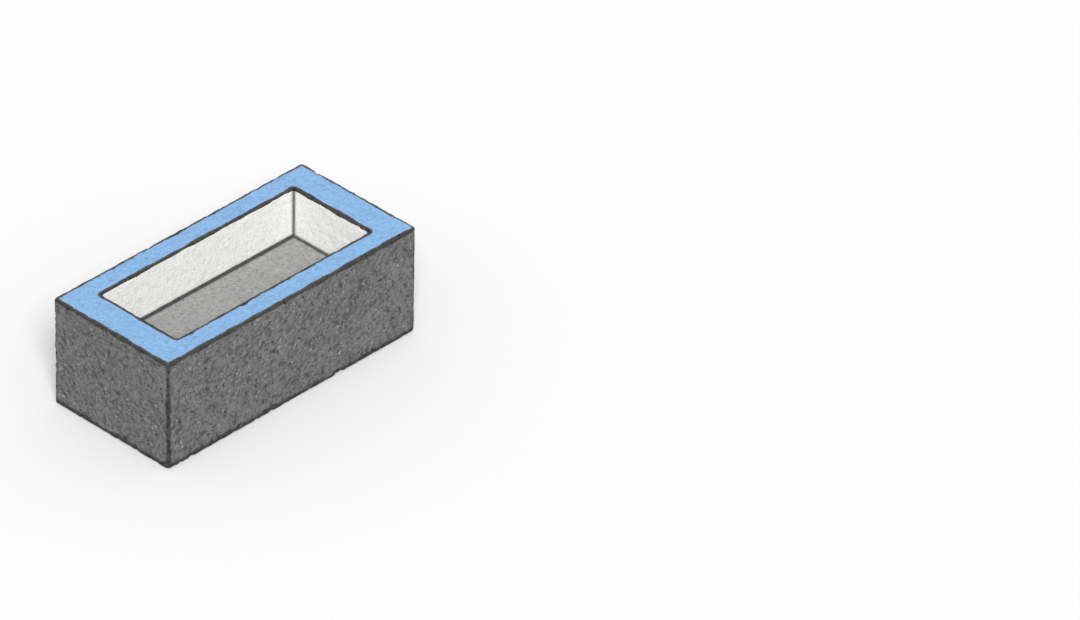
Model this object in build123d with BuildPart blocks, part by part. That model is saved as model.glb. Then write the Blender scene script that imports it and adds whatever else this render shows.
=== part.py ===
from build123d import *
import os

# A fly ash brick, pressed in a steel mould and cured as one solid piece. It lies on its plain lower bed,
# and its upper bed is a flat rim round the frog, the deep rectangular recess that fills with mortar.
# Sizes are in millimetres: X runs along the length, Y across the width and Z up, from the middle of the
# lower bed.

# The pressed block
length = 194.0
width = 92.0
height = 71.0
corner_radius = 2.5  # the four upright edges, as the mould's corners leave them
arris_radius = 1.5  # the edges round both beds, eased by handling

# The frog, set out from the rim of bed that is left round its mouth
end_rim = 22.5  # from the mouth to each end face
side_rim = 16.0  # from the mouth to each long face
frog_depth = 30.0
frog_draft = 5.0  # degrees that each wall leans back, so that the plunger lifts out
frog_corner_radius = 1.0  # the four leaning corners between the walls, crisp from the plunger
frog_floor_radius = 0.8  # where the walls run into the floor
mouth_radius = 0.6  # the edge of the mouth


with BuildPart() as brick:
    # The block is a rounded rectangle, as tall as the brick.
    with BuildSketch():
        RectangleRounded(length, width, corner_radius)
    extrude(amount=height)

    # The frog narrows towards its floor, as the plunger that pressed it does.
    with BuildSketch(Plane.XY.offset(height)):
        Rectangle(length - 2 * end_rim, width - 2 * side_rim)
    extrude(amount=-frog_depth, taper=frog_draft, mode=Mode.SUBTRACT)

    # The cut leaves edges round the frog's floor, in its corners and round its mouth, in that order upwards.
    frog_corners = brick.edges(Select.LAST).group_by(Axis.Z)[1]
    fillet(frog_corners, radius=frog_corner_radius)

    frog_floor = brick.faces().filter_by(Axis.Z).sort_by(Axis.Z)[1]
    fillet(frog_floor.edges(), radius=frog_floor_radius)

    upper_bed = brick.faces().sort_by(Axis.Z)[-1]
    fillet(upper_bed.inner_wires()[0].edges(), radius=mouth_radius)

    # The arrises go round both beds.
    lower_bed = brick.faces().sort_by(Axis.Z)[0]
    upper_bed = brick.faces().sort_by(Axis.Z)[-1]
    fillet(lower_bed.edges() + upper_bed.outer_wire().edges(), radius=arris_radius)

brick.part.label = "brick"

os.makedirs("parts", exist_ok=True)
export_step(brick.part, "parts/brick.step")
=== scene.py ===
# A fly ash brick with a deep frog, lying on a plain pale floor. Metres, in the CAD part's own frame.
import bmesh
import bpy
import math
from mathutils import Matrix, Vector


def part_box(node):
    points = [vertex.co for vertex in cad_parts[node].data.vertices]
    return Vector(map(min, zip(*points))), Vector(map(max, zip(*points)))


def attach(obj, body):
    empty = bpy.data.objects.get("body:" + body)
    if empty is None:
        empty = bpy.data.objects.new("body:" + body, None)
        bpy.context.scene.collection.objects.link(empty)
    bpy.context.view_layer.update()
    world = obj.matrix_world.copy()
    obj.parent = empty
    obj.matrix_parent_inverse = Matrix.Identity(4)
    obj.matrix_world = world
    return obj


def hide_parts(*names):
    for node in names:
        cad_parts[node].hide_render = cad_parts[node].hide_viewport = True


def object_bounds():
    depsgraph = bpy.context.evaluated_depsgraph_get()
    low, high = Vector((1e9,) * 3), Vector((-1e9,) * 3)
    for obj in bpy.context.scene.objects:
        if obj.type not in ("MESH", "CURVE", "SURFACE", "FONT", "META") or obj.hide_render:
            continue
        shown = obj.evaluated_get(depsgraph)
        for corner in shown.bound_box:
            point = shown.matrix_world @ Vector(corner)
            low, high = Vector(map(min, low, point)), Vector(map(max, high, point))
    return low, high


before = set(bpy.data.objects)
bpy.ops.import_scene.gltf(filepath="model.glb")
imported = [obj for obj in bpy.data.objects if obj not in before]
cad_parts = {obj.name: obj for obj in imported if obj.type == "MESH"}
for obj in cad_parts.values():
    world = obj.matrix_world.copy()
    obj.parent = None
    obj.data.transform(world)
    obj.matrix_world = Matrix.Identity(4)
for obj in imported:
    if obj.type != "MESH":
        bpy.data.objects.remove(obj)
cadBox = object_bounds()

mm = 0.001
noiseLow, noiseMiddle, noiseHigh = 0.3, 0.5, 0.7  # nearly all of a noise lies between low and high
patternTurn = (0.6, 0.4, 0.9)  # radians, so that no face of the brick lies along a pattern's cells

scene = bpy.context.scene
scene.view_settings.view_transform = "Standard"


def linear(hexColour):
    channels = [int(hexColour[i:i + 2], 16) / 255 for i in (1, 3, 5)]
    return [c / 12.92 if c <= 0.04045 else ((c + 0.055) / 1.055) ** 2.4 for c in channels] + [1.0]


def direction(azimuth, elevation):
    # From the brick outwards, in degrees. Azimuth 0 faces the near long face, and -90 the left end.
    azimuth = math.radians(azimuth)
    elevation = math.radians(elevation)
    return Vector((math.sin(azimuth) * math.cos(elevation),
                   -math.cos(azimuth) * math.cos(elevation),
                   math.sin(elevation)))


def addObject(name, data):
    made = bpy.data.objects.new(name, data)
    scene.collection.objects.link(made)
    return made


def emptyTree(owner):
    owner.use_nodes = True
    owner.node_tree.nodes.clear()
    return owner.node_tree


def addNode(tree, kind, *sources, **settings):
    # Sources fill the sockets in order, and a dictionary fills them by name.
    # A node stands for its first output.
    node = tree.nodes.new(kind)
    for name, value in settings.items():
        setattr(node, name, value)
    filled = {}
    for position, source in enumerate(sources):
        filled.update(source if isinstance(source, dict) else {position: source})
    for key, value in filled.items():
        socket = node.inputs[key] if isinstance(key, int) else next(
            s for s in node.inputs if s.enabled and s.name == key)
        if isinstance(value, bpy.types.Node):
            value = next(s for s in value.outputs if s.enabled)
        if isinstance(value, bpy.types.NodeSocket):
            tree.links.new(value, socket)
        else:
            socket.default_value = value
    return node


# Camera, at the drawing's viewing angle
cameraValues = {
    "azimuth": -44.4,  # degrees, looking at the left end and the near long face
    "elevation": 34.7,
    "distance": 5.02,
    "lens": 300.0,  # mm on a 36 mm sensor, long because the edges are drawn parallel
    "photoWidth": 1080,
    "photoHeight": 620,
    "centreAcross": 236.0,  # the photograph's pixel where the middle of the brick shows
    "centreDown": 314.5,
}


def makeCamera(values):
    data = bpy.data.cameras.new("camera")
    data.lens = values["lens"]
    camera = addObject("camera", data)
    scene.camera = camera
    back = direction(values["azimuth"], values["elevation"])
    middle = (cadBox[0] + cadBox[1]) / 2
    camera.location = middle + back * values["distance"]
    pixelsPerSlope = values["photoWidth"] * values["lens"] / data.sensor_width
    towards = Vector(((values["centreAcross"] - values["photoWidth"] / 2) / pixelsPerSlope,
                      (values["photoHeight"] / 2 - values["centreDown"]) / pixelsPerSlope,
                      -1.0))
    aside = Vector((0, 0, -1)).rotation_difference(towards)  # the brick is left of the frame's middle
    camera.rotation_mode = "QUATERNION"
    camera.rotation_quaternion = (-back).to_track_quat("-Z", "Y") @ aside.inverted()


makeCamera(cameraValues)
print("camera placed")


# Materials. All of them are the same fly ash, bare or under a coat.
ashValues = {
    "dark": "#6b6b6b",
    "light": "#81807f",
    "blotchSize": 38.0,  # mm, uneven moisture as it cured
    "grainSize": 1.9,  # mm, sand and bottom ash in the mix
    "grainContrast": 0.2,
    "dustSize": 0.8,  # mm, coarser than real fly ash, so that it still shows
    "dustContrast": 0.12,
    "pitSize": 1.7,  # mm, finer openings than those in the mesh
    "pitStart": 0.55,  # of the noise
    "pitEnd": 0.68,
    # painted shade in the pits
    "pitDark": 0.35,
    "fleckSpacing": 3.0,  # mm
    "fleckRadius": 1.0,  # mm, the largest
    "fleckEdge": 0.7,  # of the radius, from where a fleck fades
    "fleckPale": "#a5a29b",  # quartz sand and lumps of lime
    "fleckDark": "#3a3938",  # cinders
    "paleShare": 0.6,  # of the flecks
    "shakeSize": 1.4,  # mm, so that no grain is round
    "shakeDepth": 2.4,  # mm
    "poreDark": 0.4,  # painted shade in the holes in the mesh
    "creaseDark": 0.25,  # painted shade near the inner corners of the frog
    "settledDark": 0.74,  # painted shade, darkest right in those corners
    "settledStart": 0.45,  # of the nearness to a corner
    "settledEnd": 0.85,
    "settledRagged": 0.3,  # how uneven its edge is
    "grimeDark": 0.68,  # soot and damp in the worn arrises, and dirt at the foot
    "grimeStart": 0.3,  # of the wear
    "grimeEnd": 0.75,
    "patchSize": 12.0,  # mm, worn more here and less there
    "patchShare": 0.8,
    "raggedShare": 0.6,  # how uneven the edge of the wear is
    "underDark": 0.6,  # the darkest and the lightest that the ash under a coat gets
    "underLight": 1.2,
    "coatGain": 1 / 3,  # what a coat gains over light ash, as a share of what it loses over dark
    "grainSink": 0.6,  # of the bump's height, between the grains
    "pitSink": 1.0,
    "ridgeRise": 0.4,  # in the brush strokes
    "bumpHeight": 0.4,  # mm
    "bump": 0.9,
    "roughness": 0.9,
    "roughnessSpread": 0.06,
    "specular": 0.2,
    "ior": 1.5,
}
mineralPaintValues = {
    "coat": "#92c0ef",
    "coatContrast": 0.05,  # between one bristle's stroke and the next
    "coatThin": 0.12,  # how much of the ash shows through
    "strokeLength": 25.0,  # mm
    "bristleWidth": 1.1,  # mm
    "rubStart": 0.25,  # of the wear
    "rubEnd": 0.4,
    "poreDark": 0.25,
    "bump": 0.6,
    "roughness": 0.8,
    "specular": 0.25,
}
limeWashValues = {
    "coat": "#fafaf8",
    "coatContrast": 0.03,
    "coatThin": 0.06,
    "strokeLength": 20.0,  # mm
    "bristleWidth": 1.4,  # mm
    "rubStart": 0.55,  # of the wear
    "rubEnd": 0.7,
    "poreDark": 0.15,
    "bump": 0.5,
}
limeSlurryValues = {
    "dark": "#a0a0a0",
    "light": "#b0b0af",
    "grainContrast": 0.1,
    "dustContrast": 0.08,
    "pitDark": 0.15,
    "fleckPale": "#bbb9b6",
    "fleckDark": "#8c8a88",
    "poreDark": 0.15,
    "bump": 0.7,
}


def ashPatterns(tree, values):
    place = addNode(tree, "ShaderNodeTexCoord").outputs["Object"]
    place = addNode(tree, "ShaderNodeMapping", {"Vector": place, "Rotation": patternTurn})
    patterns = {}
    for name, detail, roughness in (("blotch", 3.0, 0.6), ("dust", 3.0, 0.7), ("pit", 1.0, 0.6),
                                    ("patch", 1.0, 0.5), ("shake", 2.0, 0.5)):
        patterns[name] = addNode(tree, "ShaderNodeTexNoise", {
            "Vector": place, "Scale": 1 / (values[name + "Size"] * mm),
            "Detail": detail, "Roughness": roughness})
    patterns["ragged"] = addNode(tree, "ShaderNodeMath", patterns["dust"], -noiseMiddle, operation="ADD")
    patterns["patchy"] = addNode(tree, "ShaderNodeMath", patterns["patch"], -noiseMiddle, operation="ADD")
    patterns["pit"] = addNode(tree, "ShaderNodeMapRange", {
        "Value": patterns["pit"], "From Min": values["pitStart"], "From Max": values["pitEnd"]},
        interpolation_type="SMOOTHSTEP")

    # Grains and flecks are the cells of a grid of points, shaken out of shape
    shake = addNode(tree, "ShaderNodeVectorMath", patterns["shake"].outputs["Color"], [noiseMiddle] * 3,
                    operation="SUBTRACT")
    shake = addNode(tree, "ShaderNodeVectorMath", shake, {"Scale": values["shakeDepth"] * mm},
                    operation="SCALE")
    shaken = addNode(tree, "ShaderNodeVectorMath", place, shake, operation="ADD")
    for name, spacing in (("grain", values["grainSize"]), ("fleck", values["fleckSpacing"])):
        patterns[name] = addNode(tree, "ShaderNodeTexVoronoi", {
            "Vector": shaken, "Scale": 1 / (spacing * mm)}).outputs
    return patterns


def ashShade(tree, values, patterns):
    # Each grain is a little lighter or darker than the next, and so is the dust
    grainTone = addNode(tree, "ShaderNodeTexWhiteNoise", {"Vector": patterns["grain"]["Color"]})
    grainShade = addNode(tree, "ShaderNodeMapRange", {
        "Value": grainTone, "To Min": 1 - values["grainContrast"], "To Max": 1 + values["grainContrast"]})
    dustShade = addNode(tree, "ShaderNodeMapRange", {
        "Value": patterns["dust"], "From Min": noiseLow, "From Max": noiseHigh,
        "To Min": 1 - values["dustContrast"], "To Max": 1 + values["dustContrast"]})
    return addNode(tree, "ShaderNodeMath", grainShade, dustShade, operation="MULTIPLY")


def fleckedAsh(tree, values, patterns, shade):
    # Two greys blotched together, with pale and dark flecks of all sizes
    colour = addNode(tree, "ShaderNodeMix", {
        "Factor": patterns["blotch"], "A": linear(values["dark"]), "B": linear(values["light"])},
        data_type="RGBA")
    colour = addNode(tree, "ShaderNodeVectorMath", colour, {"Scale": shade}, operation="SCALE")
    chances = addNode(tree, "ShaderNodeTexWhiteNoise", {"Vector": patterns["fleck"]["Color"]})
    fleckTone, fleckSize, _ = addNode(tree, "ShaderNodeSeparateColor", chances.outputs["Color"]).outputs
    fleckRadius = addNode(tree, "ShaderNodeMath", fleckSize, values["fleckRadius"] / values["fleckSpacing"],
                          operation="MULTIPLY")
    fleckReach = addNode(tree, "ShaderNodeMath", patterns["fleck"]["Distance"], fleckRadius,
                         operation="DIVIDE")
    fleckMask = addNode(tree, "ShaderNodeMapRange", {
        "Value": fleckReach, "From Min": values["fleckEdge"], "From Max": 1.0,
        "To Min": 1.0, "To Max": 0.0}, interpolation_type="SMOOTHSTEP")
    fleckIsPale = addNode(tree, "ShaderNodeMath", fleckTone, values["paleShare"], operation="LESS_THAN")
    fleckColour = addNode(tree, "ShaderNodeMix", {
        "Factor": fleckIsPale, "A": linear(values["fleckDark"]), "B": linear(values["fleckPale"])},
        data_type="RGBA")
    return addNode(tree, "ShaderNodeMix", {
        "Factor": fleckMask, "A": colour, "B": fleckColour}, data_type="RGBA")


def patchyWear(tree, values, patterns):
    arris = addNode(tree, "ShaderNodeAttribute", attribute_name="arris").outputs["Fac"]
    worn = addNode(tree, "ShaderNodeMath", patterns["patchy"], values["patchShare"], arris,
                   operation="MULTIPLY_ADD")
    return addNode(tree, "ShaderNodeMath", patterns["ragged"], values["raggedShare"], worn,
                   operation="MULTIPLY_ADD")


def coatOver(tree, values, ash, under, worn):
    # The coat lies over the ash in brush strokes, and is rubbed off at the arrises
    stroke = addNode(tree, "ShaderNodeAttribute", attribute_name="stroke").outputs["Vector"]
    stroke = addNode(tree, "ShaderNodeVectorMath", stroke, (
        1 / (values["strokeLength"] * mm), 1 / (values["bristleWidth"] * mm), 1.0), operation="MULTIPLY")
    ridge = addNode(tree, "ShaderNodeTexNoise", {"Vector": stroke, "Scale": 1.0, "Detail": 2.0})
    ridgeShade = addNode(tree, "ShaderNodeMapRange", {
        "Value": ridge, "From Min": noiseLow, "From Max": noiseHigh,
        "To Min": 1 - values["coatContrast"], "To Max": 1 + values["coatContrast"]})
    underShade = addNode(tree, "ShaderNodeMapRange", {
        "Value": under, "From Min": values["underDark"], "From Max": values["underLight"],
        "To Min": 1 - values["coatThin"], "To Max": 1 + values["coatThin"] * values["coatGain"]})
    coatShade = addNode(tree, "ShaderNodeMath", ridgeShade, underShade, operation="MULTIPLY")
    coat = addNode(tree, "ShaderNodeVectorMath", linear(values["coat"])[:3], {"Scale": coatShade},
                   operation="SCALE")
    cover = addNode(tree, "ShaderNodeMapRange", {
        "Value": worn, "From Min": values["rubStart"], "From Max": values["rubEnd"],
        "To Min": 1.0, "To Max": 0.0}, interpolation_type="SMOOTHSTEP")
    colour = addNode(tree, "ShaderNodeMix", {"Factor": cover, "A": ash, "B": coat}, data_type="RGBA")
    return colour, ridge


def hollowShade(tree, values, patterns):
    # Painted shade: the holes are darker, and the frog darkens near its inner corners, most right in them
    pore = addNode(tree, "ShaderNodeAttribute", attribute_name="pore").outputs["Fac"]
    crease = addNode(tree, "ShaderNodeAttribute", attribute_name="crease").outputs["Fac"]
    # Painted shade in the holes
    poreShade = addNode(tree, "ShaderNodeMapRange", {
        "Value": pore, "To Min": 1.0, "To Max": 1 - values["poreDark"]})
    creaseShade = addNode(tree, "ShaderNodeMapRange", {
        "Value": crease, "To Min": 1.0, "To Max": 1 - values["creaseDark"]})
    creaseCore = addNode(tree, "ShaderNodeMath", patterns["ragged"], values["settledRagged"], crease,
                      operation="MULTIPLY_ADD")
    creaseCoreShade = addNode(tree, "ShaderNodeMapRange", {
        "Value": creaseCore, "From Min": values["settledStart"], "From Max": values["settledEnd"],
        "To Min": 1.0, "To Max": 1 - values["settledDark"]}, interpolation_type="SMOOTHSTEP")
    cornerShade = addNode(tree, "ShaderNodeMath", creaseShade, creaseCoreShade, operation="MULTIPLY")
    return addNode(tree, "ShaderNodeMath", cornerShade, poreShade, operation="MULTIPLY")


def fineRelief(tree, values, patterns, ridge):
    # Relief too fine for the mesh
    height = addNode(tree, "ShaderNodeMath", patterns["grain"]["Distance"], -values["grainSink"],
                     patterns["dust"], operation="MULTIPLY_ADD")
    height = addNode(tree, "ShaderNodeMath", patterns["pit"], -values["pitSink"], height,
                     operation="MULTIPLY_ADD")
    height = addNode(tree, "ShaderNodeMath", ridge, values["ridgeRise"], height, operation="MULTIPLY_ADD")
    return addNode(tree, "ShaderNodeBump", {
        "Height": height, "Strength": values["bump"], "Distance": values["bumpHeight"] * mm})


def ashMaterial(name, finish):
    values = {**ashValues, **finish}
    material = bpy.data.materials.new(name)
    tree = emptyTree(material)
    patterns = ashPatterns(tree, values)
    shade = ashShade(tree, values, patterns)
    # Painted shade in the fine pits
    pitShade = addNode(tree, "ShaderNodeMapRange", {
        "Value": patterns["pit"], "To Min": 1.0, "To Max": 1 - values["pitDark"]})
    worn = patchyWear(tree, values, patterns)
    grimeShade = addNode(tree, "ShaderNodeMapRange", {
        "Value": worn, "From Min": values["grimeStart"], "From Max": values["grimeEnd"],
        "To Min": 1.0, "To Max": 1 - values["grimeDark"]}, interpolation_type="SMOOTHSTEP")
    bareShade = addNode(tree, "ShaderNodeMath", pitShade, grimeShade, operation="MULTIPLY")
    colour = fleckedAsh(tree, values, patterns, shade)
    colour = addNode(tree, "ShaderNodeVectorMath", colour, {"Scale": bareShade}, operation="SCALE")
    ridge = 0.0
    if "coat" in values:
        # The ash under a coat, its painted pit shade included
        under = addNode(tree, "ShaderNodeMath", shade, pitShade, operation="MULTIPLY")
        colour, ridge = coatOver(tree, values, colour, under, worn)
    colour = addNode(tree, "ShaderNodeVectorMath", colour, {"Scale": hollowShade(tree, values, patterns)},
                     operation="SCALE")
    roughness = addNode(tree, "ShaderNodeMapRange", {
        "Value": patterns["dust"], "From Min": noiseLow, "From Max": noiseHigh,
        "To Min": values["roughness"] - values["roughnessSpread"],
        "To Max": values["roughness"] + values["roughnessSpread"]})
    shader = addNode(tree, "ShaderNodeBsdfPrincipled", {
        "Base Color": colour, "Roughness": roughness, "Normal": fineRelief(tree, values, patterns, ridge),
        "IOR": values["ior"], "Specular IOR Level": values["specular"]})
    addNode(tree, "ShaderNodeOutputMaterial", shader)
    return material


# Fly ash, sand and lime pressed in a steel mould: dead matt, dark grey and gritty, with an open texture
flyAshPressed = ashMaterial("flyAshPressed", {})
# Mineral paint brushed on the bed: an even pale blue, matt, worn down to the ash at the arrises
mineralPaintBrushed = ashMaterial("mineralPaintBrushed", mineralPaintValues)
# Lime wash brushed on the walls of the frog: chalky and nearly white, with the grit just showing
limeWashBrushed = ashMaterial("limeWashBrushed", limeWashValues)
# Lime slurry that ran down and set on the floor of the frog: mid grey, dusty and even
limeSlurrySet = ashMaterial("limeSlurrySet", limeSlurryValues)
print("materials made")


# The brick: an even grid of faces, drawn onto the pressed form and then roughened
brickValues = {
    "endRim": 22.5,  # mm of bed from the frog's mouth to each end
    "sideRim": 16.0,  # mm of bed from the frog's mouth to each long face
    "frogDepth": 30.0,  # mm
    "frogDraft": 5.0,  # degrees that the walls of the frog lean back
    "frogCorner": 1.0,  # mm, the radius in its corners
    "cellSize": 1.0,  # mm between grid lines, to the nearest whole count
    "sameSpot": 0.001,  # mm, under which points of the pressed form are one
    "planeSlack": 0.1,  # mm, within which a face lies in the upper bed's plane
    "ringSlack": 0.05,  # mm, within which a point lies on a ring
    "seamGap": 0.05,  # mm, under which the frog's points and the block's are one
    "crowdGap": 0.2,  # mm, under which points on the pressed form are one
    "bedReach": 1.6,  # mm down that the upper bed's finish goes
    "mouthReach": 0.9,  # mm out that the frog's finish goes
    "floorReach": 1.0,  # mm past its floor that the frog counts
    "rimReach": 0.8,  # mm down that the strokes along the rim go
    "bedFacing": 0.6,  # how far up a face of the upper bed looks, at least
    "floorFacing": 0.25,  # and one of the frog's floor
    "seed": 4.0,
    "unevenSize": 45.0,  # mm, slow waves left by the mould's liners
    "unevenDepth": 0.25,  # mm
    "gritSize": 4.5,  # mm
    "gritDepth": 0.45,  # mm
    "pitSize": 3.6,  # mm, the open texture between the larger grains
    "pitStart": 0.54,  # of the noise
    "pitEnd": 0.68,
    "pitDepth": 0.8,  # mm
    "coatFill": 0.6,  # how far a coat fills the pits
    "poreSpacing": 7.0,  # mm, air holes
    "poreRadius": 1.5,  # mm, the largest
    "poreDepth": 1.1,  # mm
    "poreLeast": 0.5,  # the smallest, as a share of the largest
    "poreEdge": 0.4,  # of its radius, from where a pore gets shallower
    "poreShare": 0.55,  # of the places where a pore could be
    "wearWidth": 4.2,  # mm from an arris of the block
    "mouthWearWidth": 3.4,  # mm from the edge of the mouth
    "footWidth": 8.0,  # mm from the arrises of the lower bed, where dirt from the ground sticks
    "wearDepth": 0.7,  # mm
    "nickSize": 10.0,  # mm
    "nickStart": 0.61,  # of the noise
    "nickEnd": 0.72,
    "nickDepth": 2.2,  # mm
    "creaseWidth": 3.5,  # mm from an inner corner
    "easeSteps": 16,  # so that points don't cross where an arris is pressed in
}


def brickSockets(tree):
    tree.interface.new_socket(name="Geometry", in_out="OUTPUT", socket_type="NodeSocketGeometry")
    for kind, subtype, names in (
            ("Object", "", ("Pressed Form",)),
            ("Vector", "", ("Brick Size", "Mouth Size")),
            ("Int", "", ("Lines Along", "Lines Across", "Lines Up", "Mouth Lines Along",
                         "Mouth Lines Across", "Frog Lines Down", "Ease Steps")),
            ("Float", "DISTANCE", ("Frog Corner", "Plane Slack", "Ring Slack", "Seam Gap", "Crowd Gap",
                                   "Bed Reach", "Mouth Reach", "Floor Reach", "Rim Reach", "Uneven Size",
                                   "Uneven Depth", "Grit Size", "Grit Depth", "Pit Size", "Pit Depth",
                                   "Pore Spacing", "Pore Radius", "Pore Depth", "Wear Width",
                                   "Mouth Wear Width", "Foot Width", "Wear Depth", "Nick Size",
                                   "Nick Depth", "Crease Width")),
            ("Float", "", ("Frog Draft", "Bed Facing", "Floor Facing", "Seed", "Pit Start", "Pit End",
                           "Coat Fill", "Pore Least", "Pore Edge", "Pore Share", "Nick Start", "Nick End")),
            ("Material", "", ("Sides", "Frog Walls", "Frog Floor", "Upper Bed"))):
        for name in names:
            socket = tree.interface.new_socket(name=name, in_out="INPUT", socket_type="NodeSocket" + kind)
            if subtype:
                socket.subtype = subtype


def middleOf(tree, first, second, third):
    # A point lies on one of three faces, so the middle distance is the one from the nearest edge
    least = addNode(tree, "ShaderNodeMath", first, second, operation="MINIMUM")
    most = addNode(tree, "ShaderNodeMath", first, second, operation="MAXIMUM")
    most = addNode(tree, "ShaderNodeMath", most, third, operation="MINIMUM")
    return addNode(tree, "ShaderNodeMath", least, most, operation="MAXIMUM")


def fromCentre(tree, past, radius):
    # From the centre of the nearest rounded corner, by the distances past the sides of a rectangle
    corner = addNode(tree, "ShaderNodeCombineXYZ", radius, radius)
    away = addNode(tree, "ShaderNodeVectorMath", past, corner, operation="ADD")
    return addNode(tree, "ShaderNodeVectorMath", away, (1, 1, 0), operation="MULTIPLY")


def pastRounded(tree, past, radius):
    # Distance past a rectangle with rounded corners
    away = fromCentre(tree, past, radius)
    outer = addNode(tree, "ShaderNodeVectorMath", away, (0, 0, 0), operation="MAXIMUM")
    outer = addNode(tree, "ShaderNodeVectorMath", outer, operation="LENGTH")
    x, y, _ = addNode(tree, "ShaderNodeSeparateXYZ", away).outputs
    inner = addNode(tree, "ShaderNodeMath", x, y, operation="MAXIMUM")
    inner = addNode(tree, "ShaderNodeMath", inner, 0.0, operation="MINIMUM")
    whole = addNode(tree, "ShaderNodeMath", outer, inner, operation="ADD")
    return addNode(tree, "ShaderNodeMath", whole, radius, operation="SUBTRACT")


def whereabouts(tree, given):
    # Where a point is: past the mouth's edge, above and below the beds, and inside the block's faces
    at = {"place": addNode(tree, "GeometryNodeInputPosition")}
    half = addNode(tree, "ShaderNodeVectorMath", given["Brick Size"], {"Scale": 0.5}, operation="SCALE")
    at["middle"] = addNode(tree, "ShaderNodeVectorMath", half, (0, 0, 1), operation="MULTIPLY")
    fromMiddle = addNode(tree, "ShaderNodeVectorMath", at["place"], at["middle"], operation="SUBTRACT")
    reach = addNode(tree, "ShaderNodeVectorMath", fromMiddle, operation="ABSOLUTE")
    at["inside"] = addNode(tree, "ShaderNodeVectorMath", half, reach, operation="SUBTRACT")
    at["mouthHalf"] = addNode(tree, "ShaderNodeVectorMath", given["Mouth Size"], {"Scale": 0.5},
                              operation="SCALE")
    pastMouth = addNode(tree, "ShaderNodeVectorMath", reach, at["mouthHalf"], operation="SUBTRACT")
    at["pastX"], at["pastY"], _ = addNode(tree, "ShaderNodeSeparateXYZ", pastMouth).outputs
    at["past"] = pastRounded(tree, pastMouth, given["Frog Corner"])

    height = addNode(tree, "ShaderNodeSeparateXYZ", given["Brick Size"]).outputs["Z"]
    at["up"] = addNode(tree, "ShaderNodeSeparateXYZ", at["place"]).outputs["Z"]
    at["below"] = addNode(tree, "ShaderNodeMath", height, at["up"], operation="SUBTRACT")
    at["onTop"] = addNode(tree, "ShaderNodeMath", at["below"], given["Plane Slack"], operation="LESS_THAN")
    frogDepth = addNode(tree, "ShaderNodeSeparateXYZ", given["Mouth Size"]).outputs["Z"]
    frogEnd = addNode(tree, "ShaderNodeMath", frogDepth, given["Floor Reach"], operation="ADD")
    at["overFloor"] = addNode(tree, "ShaderNodeMath", frogDepth, at["below"], operation="SUBTRACT")
    at["inDepth"] = addNode(tree, "ShaderNodeMath", at["below"], frogEnd, operation="LESS_THAN")

    # The walls of the frog lean in from the mouth, the more the deeper they are
    lean = addNode(tree, "ShaderNodeMath", given["Frog Draft"], operation="TANGENT")
    lean = addNode(tree, "ShaderNodeMath", lean, at["below"], operation="MULTIPLY")
    at["lean"] = addNode(tree, "ShaderNodeCombineXYZ", lean, lean)
    at["pastWalls"] = addNode(tree, "ShaderNodeVectorMath", pastMouth, at["lean"], operation="ADD")
    return at


def griddedBlock(tree, given, at):
    # The block is a box of grid lines, without the faces in the mouth
    inMouth = addNode(tree, "ShaderNodeMath", at["pastX"], at["pastY"], operation="MAXIMUM")
    inMouth = addNode(tree, "ShaderNodeMath", inMouth, 0.0, operation="LESS_THAN")
    opening = addNode(tree, "ShaderNodeMath", inMouth, at["onTop"], operation="MULTIPLY")
    block = addNode(tree, "GeometryNodeMeshCube", given["Brick Size"], given["Lines Along"],
                    given["Lines Across"], given["Lines Up"])
    block = addNode(tree, "GeometryNodeTransform", {"Geometry": block, "Translation": at["middle"]})
    return addNode(tree, "GeometryNodeDeleteGeometry", block, opening, domain="FACE")


def griddedFrog(tree, given, at):
    # The frog is a second box on the same lines, open, narrowing to its floor and turned inside out
    hang = addNode(tree, "ShaderNodeVectorMath", at["mouthHalf"], (0, 0, 1), operation="MULTIPLY")
    drop = addNode(tree, "ShaderNodeVectorMath", at["middle"], {"Scale": 2.0}, operation="SCALE")
    drop = addNode(tree, "ShaderNodeVectorMath", drop, hang, operation="SUBTRACT")
    frog = addNode(tree, "GeometryNodeMeshCube", given["Mouth Size"], given["Mouth Lines Along"],
                   given["Mouth Lines Across"], given["Frog Lines Down"])
    frog = addNode(tree, "GeometryNodeTransform", {"Geometry": frog, "Translation": drop})
    frog = addNode(tree, "GeometryNodeDeleteGeometry", frog, at["onTop"], domain="FACE")
    narrower = addNode(tree, "ShaderNodeVectorMath", at["lean"], at["mouthHalf"], operation="DIVIDE")
    narrower = addNode(tree, "ShaderNodeVectorMath", (1, 1, 1), narrower, operation="SUBTRACT")
    leaning = addNode(tree, "ShaderNodeVectorMath", at["place"], narrower, operation="MULTIPLY")
    frog = addNode(tree, "GeometryNodeSetPosition", {"Geometry": frog, "Position": leaning})
    return addNode(tree, "GeometryNodeFlipFaces", frog)


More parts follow.
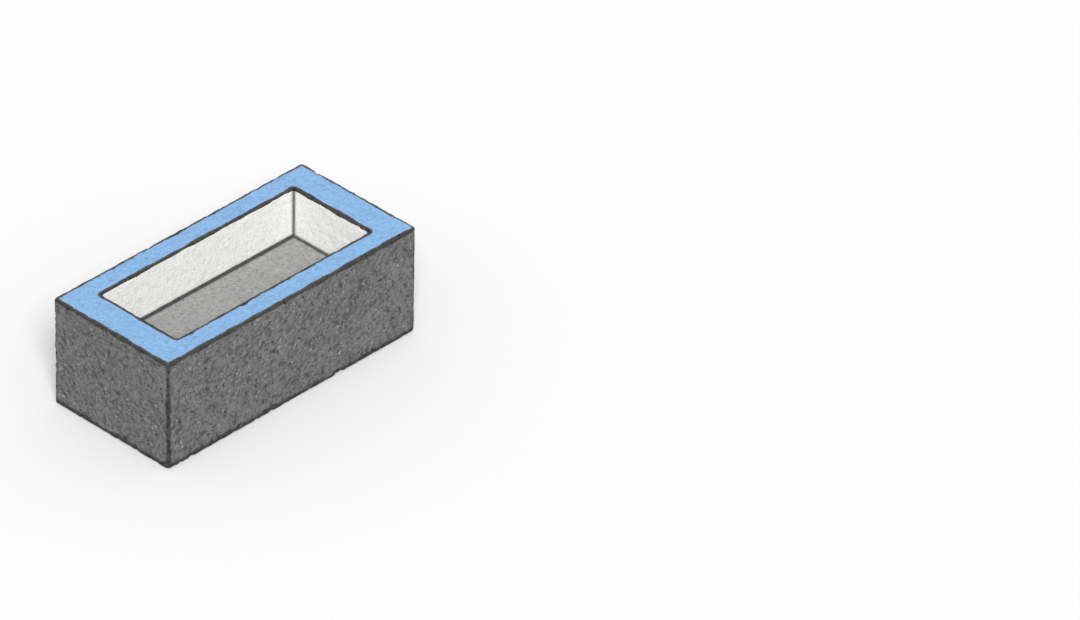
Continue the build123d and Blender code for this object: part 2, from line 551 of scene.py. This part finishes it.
def roundedRings(tree, given, at, whole):
    # In the corners of the frog, each square ring of points is drawn in to a round one
    away = fromCentre(tree, at["pastWalls"], given["Frog Corner"])
    x, y, _ = addNode(tree, "ShaderNodeSeparateXYZ", away).outputs
    ring = addNode(tree, "ShaderNodeMath", x, y, operation="MAXIMUM")
    inRing = addNode(tree, "ShaderNodeMath", ring, given["Frog Corner"], operation="SUBTRACT")
    inRing = addNode(tree, "ShaderNodeMath", inRing, given["Ring Slack"], operation="LESS_THAN")
    inCorner = addNode(tree, "ShaderNodeMath", x, y, operation="MINIMUM")
    inCorner = addNode(tree, "ShaderNodeMath", inCorner, 0.0, operation="GREATER_THAN")
    chosen = addNode(tree, "ShaderNodeMath", inRing, inCorner, operation="MULTIPLY")
    chosen = addNode(tree, "ShaderNodeMath", chosen, at["inDepth"], operation="MULTIPLY")
    distance = addNode(tree, "ShaderNodeVectorMath", away, operation="LENGTH")
    pull = addNode(tree, "ShaderNodeMath", ring, distance, operation="DIVIDE")
    pull = addNode(tree, "ShaderNodeMath", pull, 1.0, operation="SUBTRACT")
    side = addNode(tree, "ShaderNodeVectorMath", at["place"], operation="SIGN")
    pull = addNode(tree, "ShaderNodeVectorMath", side, {"Scale": pull}, operation="SCALE")
    pull = addNode(tree, "ShaderNodeVectorMath", pull, away, operation="MULTIPLY")
    return addNode(tree, "GeometryNodeSetPosition", {
        "Geometry": whole, "Selection": chosen, "Offset": pull})


def ontoForm(tree, given, whole):
    # Every point is drawn onto the pressed form, which rounds the arrises and the corners
    form = addNode(tree, "GeometryNodeObjectInfo", given["Pressed Form"]).outputs["Geometry"]
    nearest = addNode(tree, "GeometryNodeProximity", form, target_element="FACES")
    whole = addNode(tree, "GeometryNodeSetPosition", {"Geometry": whole, "Position": nearest})
    return addNode(tree, "GeometryNodeMergeByDistance", {"Geometry": whole, "Distance": given["Crowd Gap"]})


def finishAreas(tree, given, at, normal):
    # Finishes, by where a face is and which way it looks. The later ones go over the earlier.
    facing = addNode(tree, "ShaderNodeSeparateXYZ", normal).outputs["Z"]
    looksUp = addNode(tree, "ShaderNodeMath", facing, given["Bed Facing"], operation="GREATER_THAN")
    lies = addNode(tree, "ShaderNodeMath", facing, given["Floor Facing"], operation="GREATER_THAN")
    atBed = addNode(tree, "ShaderNodeMath", at["below"], given["Bed Reach"], operation="LESS_THAN")
    nearMouth = addNode(tree, "ShaderNodeMath", at["past"], given["Mouth Reach"], operation="LESS_THAN")
    inFrog = addNode(tree, "ShaderNodeMath", nearMouth, at["inDepth"], operation="MULTIPLY")
    deep = addNode(tree, "ShaderNodeMath", lies, atBed, operation="SUBTRACT")
    areas = {
        "Frog Walls": addNode(tree, "ShaderNodeMath", inFrog, looksUp, operation="SUBTRACT"),
        "Frog Floor": addNode(tree, "ShaderNodeMath", inFrog, deep, operation="MULTIPLY"),
        "Upper Bed": addNode(tree, "ShaderNodeMath", looksUp, atBed, operation="MULTIPLY"),
    }
    coated = addNode(tree, "ShaderNodeMath", inFrog, areas["Upper Bed"], operation="MAXIMUM")
    return areas, inFrog, coated


def wearAndGrime(tree, given, at):
    # The nearer a point is to an arris of the block or to the edge of the mouth, the more it is worn.
    # Grime sticks there too, and round the foot.
    inX, inY, inZ = addNode(tree, "ShaderNodeSeparateXYZ", at["inside"]).outputs
    fromArris = middleOf(tree, inX, inY, inZ)
    fromMouth = addNode(tree, "ShaderNodeMath", at["past"], at["below"], operation="MAXIMUM")
    fromFoot = addNode(tree, "ShaderNodeMath", inX, inY, operation="MINIMUM")
    fromFoot = addNode(tree, "ShaderNodeMath", fromFoot, at["up"], operation="MAXIMUM")
    blockWear, mouthWear, footGrime = (
        addNode(tree, "ShaderNodeMapRange", {
            "Value": distance, "From Min": 0.0, "From Max": given[width], "To Min": 1.0, "To Max": 0.0},
            interpolation_type="SMOOTHSTEP")
        for distance, width in (
            (fromArris, "Wear Width"), (fromMouth, "Mouth Wear Width"), (fromFoot, "Foot Width")))
    wear = addNode(tree, "ShaderNodeMath", blockWear, mouthWear, operation="MAXIMUM")
    return wear, addNode(tree, "ShaderNodeMath", wear, footGrime, operation="MAXIMUM")


def innerCorners(tree, given, at, inFrog):
    # How near a point is to an inner corner of the frog, where the materials paint shade
    gaps = addNode(tree, "ShaderNodeVectorMath", at["pastWalls"], {"Scale": -1.0}, operation="SCALE")
    gapX, gapY, _ = addNode(tree, "ShaderNodeSeparateXYZ", gaps).outputs
    fromCorner = middleOf(tree, gapX, gapY, at["overFloor"])
    return addNode(tree, "ShaderNodeMapRange", {
        "Value": fromCorner, "From Min": 0.0, "From Max": given["Crease Width"],
        "To Min": inFrog, "To Max": 0.0}, interpolation_type="SMOOTHSTEP")


def airHoles(tree, given, place):
    # How far a point is into an air hole, and how deep that hole is
    scale = addNode(tree, "ShaderNodeMath", 1.0, given["Pore Spacing"], operation="DIVIDE")
    turned = addNode(tree, "ShaderNodeVectorRotate", {"Vector": place, "Rotation": patternTurn},
                     rotation_type="EULER_XYZ")
    holes = addNode(tree, "ShaderNodeTexVoronoi", {
        "Vector": turned, "W": given["Seed"], "Scale": scale}, voronoi_dimensions="4D").outputs
    chances = addNode(tree, "ShaderNodeTexWhiteNoise", {"Vector": holes["Color"]}).outputs["Color"]
    chance, share, _ = addNode(tree, "ShaderNodeSeparateXYZ", chances).outputs
    there = addNode(tree, "ShaderNodeMath", chance, given["Pore Share"], operation="LESS_THAN")
    share = addNode(tree, "ShaderNodeMapRange", {
        "Value": share, "To Min": given["Pore Least"], "To Max": 1.0})
    radius = addNode(tree, "ShaderNodeMath", share, given["Pore Radius"], operation="MULTIPLY")
    away = addNode(tree, "ShaderNodeMath", holes["Distance"], given["Pore Spacing"], operation="MULTIPLY")
    away = addNode(tree, "ShaderNodeMath", away, radius, operation="DIVIDE")
    pore = addNode(tree, "ShaderNodeMapRange", {
        "Value": away, "From Min": given["Pore Edge"], "From Max": 1.0, "To Min": there, "To Max": 0.0},
        interpolation_type="SMOOTHSTEP")
    depth = addNode(tree, "ShaderNodeMath", share, given["Pore Depth"], operation="MULTIPLY")
    return pore, depth


def reliefOf(tree, given, place, wear, coated):
    # Six kinds of relief, all pressed inwards
    noises = {}
    for name, detail in (("Uneven", 1.0), ("Grit", 2.0), ("Pit", 1.0), ("Nick", 2.0)):
        scale = addNode(tree, "ShaderNodeMath", 1.0, given[name + " Size"], operation="DIVIDE")
        noises[name] = addNode(tree, "ShaderNodeTexNoise", {
            "Vector": place, "W": given["Seed"], "Scale": scale, "Detail": detail}, noise_dimensions="4D")
    pit, nick = (
        addNode(tree, "ShaderNodeMapRange", {
            "Value": noises[name], "From Min": given[name + " Start"], "From Max": given[name + " End"]},
            interpolation_type="SMOOTHSTEP")
        for name in ("Pit", "Nick"))
    filled = addNode(tree, "ShaderNodeMath", coated, given["Coat Fill"], operation="MULTIPLY")
    left = addNode(tree, "ShaderNodeMath", 1.0, filled, operation="SUBTRACT")
    pit = addNode(tree, "ShaderNodeMath", pit, left, operation="MULTIPLY")
    nick = addNode(tree, "ShaderNodeMath", nick, wear, operation="MULTIPLY")
    worn = addNode(tree, "ShaderNodeMath", wear, noises["Grit"], operation="MULTIPLY")
    pore, poreDepth = airHoles(tree, given, place)

    depth = 0.0
    for share, fullDepth in (
            (noises["Uneven"], given["Uneven Depth"]), (noises["Grit"], given["Grit Depth"]),
            (pit, given["Pit Depth"]), (pore, poreDepth),
            (worn, given["Wear Depth"]), (nick, given["Nick Depth"])):
        depth = addNode(tree, "ShaderNodeMath", share, fullDepth, depth, operation="MULTIPLY_ADD")
    # The holes and pits, where the materials paint shade
    hollow = addNode(tree, "ShaderNodeMath", pore, pit, operation="MAXIMUM")
    return depth, hollow, nick


def brushStrokes(tree, given, at):
    # Which way the brush went: along each side of the rim, and level round the walls of the frog
    x, y, z = addNode(tree, "ShaderNodeSeparateXYZ", at["place"]).outputs
    atEnd = addNode(tree, "ShaderNodeMath", at["pastX"], at["pastY"], operation="GREATER_THAN")
    alongRim = addNode(tree, "ShaderNodeMix", atEnd, {
        "A": addNode(tree, "ShaderNodeCombineXYZ", x, y),
        "B": addNode(tree, "ShaderNodeCombineXYZ", y, x)}, data_type="VECTOR")
    alongWall = addNode(tree, "ShaderNodeMath", x, y, operation="ADD")
    alongWall = addNode(tree, "ShaderNodeCombineXYZ", alongWall, z)
    onRim = addNode(tree, "ShaderNodeMath", at["below"], given["Rim Reach"], operation="LESS_THAN")
    return addNode(tree, "ShaderNodeMix", onRim, {"A": alongWall, "B": alongRim}, data_type="VECTOR")


def brickTree():
    tree = bpy.data.node_groups.new("pressedBrick", "GeometryNodeTree")
    brickSockets(tree)
    given = addNode(tree, "NodeGroupInput").outputs
    at = whereabouts(tree, given)
    whole = addNode(tree, "GeometryNodeJoinGeometry", griddedFrog(tree, given, at))
    tree.links.new(griddedBlock(tree, given, at).outputs["Geometry"], whole.inputs["Geometry"])
    whole = addNode(tree, "GeometryNodeMergeByDistance", {"Geometry": whole, "Distance": given["Seam Gap"]})
    whole = roundedRings(tree, given, at, whole)
    whole = ontoForm(tree, given, whole)

    # Each face keeps its finish from here, where the form is still smooth
    normal = addNode(tree, "GeometryNodeInputNormal")
    areas, inFrog, coated = finishAreas(tree, given, at, normal)
    kept = addNode(tree, "GeometryNodeCaptureAttribute", whole, domain="FACE")
    for finish, area in areas.items():
        kept.capture_items.new("BOOLEAN", finish)
        tree.links.new(area.outputs["Value"], kept.inputs[finish])
    whole = kept

    # What the materials read from the mesh
    wear, grime = wearAndGrime(tree, given, at)
    depth, hollow, nick = reliefOf(tree, given, at["place"], wear, coated)
    arris = addNode(tree, "ShaderNodeMath", grime, nick, operation="ADD")
    crease = innerCorners(tree, given, at, inFrog)
    stroke = brushStrokes(tree, given, at)
    for name, value, kind in (("pore", hollow, "FLOAT"), ("arris", arris, "FLOAT"),
                              ("crease", crease, "FLOAT"), ("stroke", stroke, "FLOAT_VECTOR")):
        whole = addNode(tree, "GeometryNodeStoreNamedAttribute", {
            "Geometry": whole, "Name": name, "Value": value}, data_type=kind, domain="POINT")

    # The surface is pressed in along its own direction, eased where that turns sharply
    inwards = addNode(tree, "ShaderNodeMath", depth, -1.0, operation="MULTIPLY")
    eased = addNode(tree, "GeometryNodeBlurAttribute", {"Value": normal, "Iterations": given["Ease Steps"]},
                    data_type="FLOAT_VECTOR")
    sink = addNode(tree, "ShaderNodeVectorMath", eased, {"Scale": inwards}, operation="SCALE")
    whole = addNode(tree, "GeometryNodeSetPosition", {"Geometry": whole, "Offset": sink})
    whole = addNode(tree, "GeometryNodeSetShadeSmooth", whole)
    whole = addNode(tree, "GeometryNodeRealizeInstances", whole)
    whole = addNode(tree, "GeometryNodeSetMaterial", {"Geometry": whole, "Material": given["Sides"]})
    for finish in areas:
        whole = addNode(tree, "GeometryNodeSetMaterial", {
            "Geometry": whole, "Selection": kept.outputs[finish], "Material": given[finish]})
    addNode(tree, "NodeGroupOutput", whole)
    return tree


def pressedForm(values):
    # A merged copy of the CAD mesh
    form = addObject("pressedForm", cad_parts["brick"].data.copy())
    merged = bmesh.new()
    merged.from_mesh(form.data)
    bmesh.ops.remove_doubles(merged, verts=merged.verts, dist=values["sameSpot"] * mm)
    merged.to_mesh(form.data)
    merged.free()
    return form


def evenCount(number):
    return 2 * round(number / 2)


def gridSettings(values):
    # The mouth's edges lie on grid lines of the block, so its size is a whole count of cells
    low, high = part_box("brick")
    length, width, height = high - low
    cell = values["cellSize"] * mm
    cells = [evenCount(side / cell) for side in (length, width, height)]
    mouthLength = length - 2 * values["endRim"] * mm
    mouthWidth = width - 2 * values["sideRim"] * mm
    mouthCells = [evenCount(mouthLength / length * cells[0]), evenCount(mouthWidth / width * cells[1])]
    mouthSize = (length * mouthCells[0] / cells[0],
                 width * mouthCells[1] / cells[1],
                 values["frogDepth"] * mm)
    return {
        "Brick Size": (length, width, height), "Mouth Size": mouthSize,
        "Lines Along": cells[0] + 1, "Lines Across": cells[1] + 1, "Lines Up": cells[2] + 1,
        "Mouth Lines Along": mouthCells[0] + 1, "Mouth Lines Across": mouthCells[1] + 1,
        "Frog Lines Down": round(mouthSize[2] / cell) + 1,
        "Frog Draft": math.radians(values["frogDraft"])}


def makeBrick(values):
    form = pressedForm(values)
    settings = {  # what isn't in the dictionary as it stands, where a distance is in mm
        **gridSettings(values), "Pressed Form": form,
        "Sides": flyAshPressed, "Upper Bed": mineralPaintBrushed,
        "Frog Walls": limeWashBrushed, "Frog Floor": limeSlurrySet}
    tree = brickTree()
    carrier = addObject("brickCarrier", bpy.data.meshes.new("brickCarrier"))
    modifier = carrier.modifiers.new("pressedBrick", "NODES")
    modifier.node_group = tree
    for socket in tree.interface.items_tree:
        if socket.in_out == "OUTPUT":
            continue
        if socket.name not in settings:
            key = socket.name[0].lower() + socket.name[1:].replace(" ", "")
            settings[socket.name] = values[key] * (mm if socket.subtype == "DISTANCE" else 1)
        modifier[socket.identifier] = settings[socket.name]

    evaluated = carrier.evaluated_get(bpy.context.evaluated_depsgraph_get())
    brick = addObject("brick_body", bpy.data.meshes.new_from_object(evaluated))
    carrier.modifiers.clear()
    bpy.data.objects.remove(carrier)
    bpy.data.objects.remove(form)
    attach(brick, "root")
    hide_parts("brick")
    return brick


brick = makeBrick(brickValues)
print("brick made:", len(brick.data.polygons), "faces")


# Studio: soft light all round, a wide sun over the camera's shoulder and a large pale floor
studioValues = {
    "skyStrength": 0.52,
    "sunStrength": 2.15,
    "sunAngle": 20.0,  # degrees across, for a soft shadow
    "sunAzimuth": -40.0,  # degrees, near the camera's, so the end and the long face are lit alike
    "sunElevation": 43.0,
    "floorSize": 60.0,  # m
    "floorTone": "#e6e6e6",  # as it lights the brick
    "paperTone": "#ffffff",  # floor and sky as they are seen
}


def seenDirectly(tree):
    # By the camera, or in gloss or glass
    ray = addNode(tree, "ShaderNodeLightPath").outputs
    seen = addNode(tree, "ShaderNodeMath", ray["Is Camera Ray"], ray["Is Glossy Ray"], operation="MAXIMUM")
    return addNode(tree, "ShaderNodeMath", seen, ray["Is Transmission Ray"], operation="MAXIMUM")


def makeSky(values):
    world = bpy.data.worlds.new("studio")
    scene.world = world
    tree = emptyTree(world)
    white = linear(values["paperTone"])
    lit = addNode(tree, "ShaderNodeBackground", {"Color": white, "Strength": values["skyStrength"]})
    plain = addNode(tree, "ShaderNodeBackground", {"Color": white, "Strength": 1.0})
    mixed = addNode(tree, "ShaderNodeMixShader", seenDirectly(tree), lit, plain)
    addNode(tree, "ShaderNodeOutputWorld", mixed)


def makeSun(values):
    data = bpy.data.lights.new("sun", "SUN")
    data.energy = values["sunStrength"]
    data.angle = math.radians(values["sunAngle"])
    towards = direction(values["sunAzimuth"], values["sunElevation"])
    addObject("sun", data).rotation_euler = towards.to_track_quat("Z", "Y").to_euler()


def makeFloor(values):
    sheet = bmesh.new()
    bmesh.ops.create_grid(sheet, x_segments=1, y_segments=1, size=values["floorSize"] / 2)
    mesh = bpy.data.meshes.new("floor")
    sheet.to_mesh(mesh)
    sheet.free()
    floor = addObject("floor", mesh)
    material = bpy.data.materials.new("paperMatt")
    tree = emptyTree(material)
    lit = addNode(tree, "ShaderNodeBsdfDiffuse", {"Color": linear(values["floorTone"])})
    plain = addNode(tree, "ShaderNodeBsdfDiffuse", {"Color": linear(values["paperTone"])})
    mixed = addNode(tree, "ShaderNodeMixShader", seenDirectly(tree), lit, plain)
    addNode(tree, "ShaderNodeOutputMaterial", mixed)
    floor.data.materials.append(material)


makeSky(studioValues)
makeSun(studioValues)
makeFloor(studioValues)
print("studio made")
